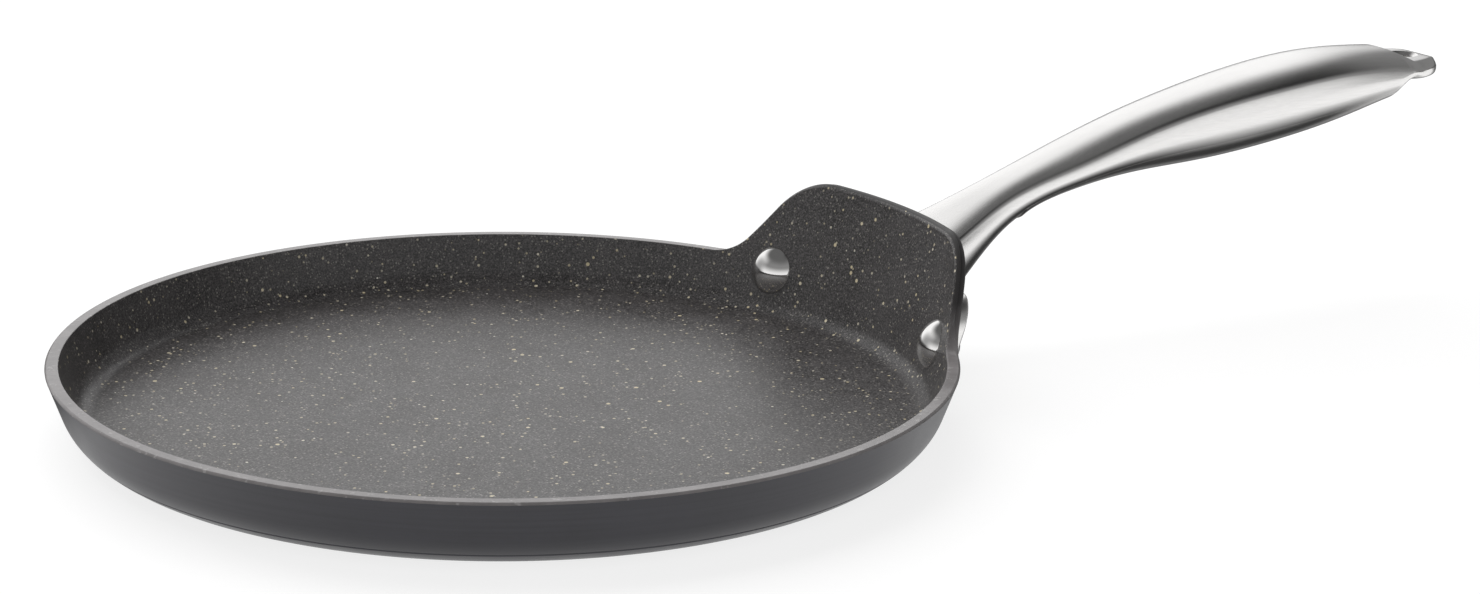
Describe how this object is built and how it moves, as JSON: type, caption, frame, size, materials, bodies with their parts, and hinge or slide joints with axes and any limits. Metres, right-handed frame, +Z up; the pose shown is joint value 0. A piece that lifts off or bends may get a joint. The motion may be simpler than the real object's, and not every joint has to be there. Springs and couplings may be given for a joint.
{
  "type": "crepe pan",
  "caption": "Shallow round crepe pan with a low flared wall, a raised wall flange with riveted hollow steel handle curving up to a rounded tip with a hanging hole.",
  "frame": {"origin": "centre of the pan's flat underside", "axes": "+X from the pan's centre out along the handle, +Z up, +Y to the left when looking from the pan along the handle"},
  "size_m": [0.4623, 0.25, 0.0793],
  "materials": {
    "coated_aluminium": "pressed aluminium with a speckled dark grey non-stick coating inside and a plain satin grey coat outside",
    "satin_steel": "satin stainless steel",
    "polished_steel": "polished stainless steel"
  },
  "bodies": {
    "root": {"pan_body": "coated_aluminium", "handle_body": "satin_steel", "handle_belly": "satin_steel", "rivet_left": "polished_steel", "rivet_right": "polished_steel"}
  },
  "joints": []
}
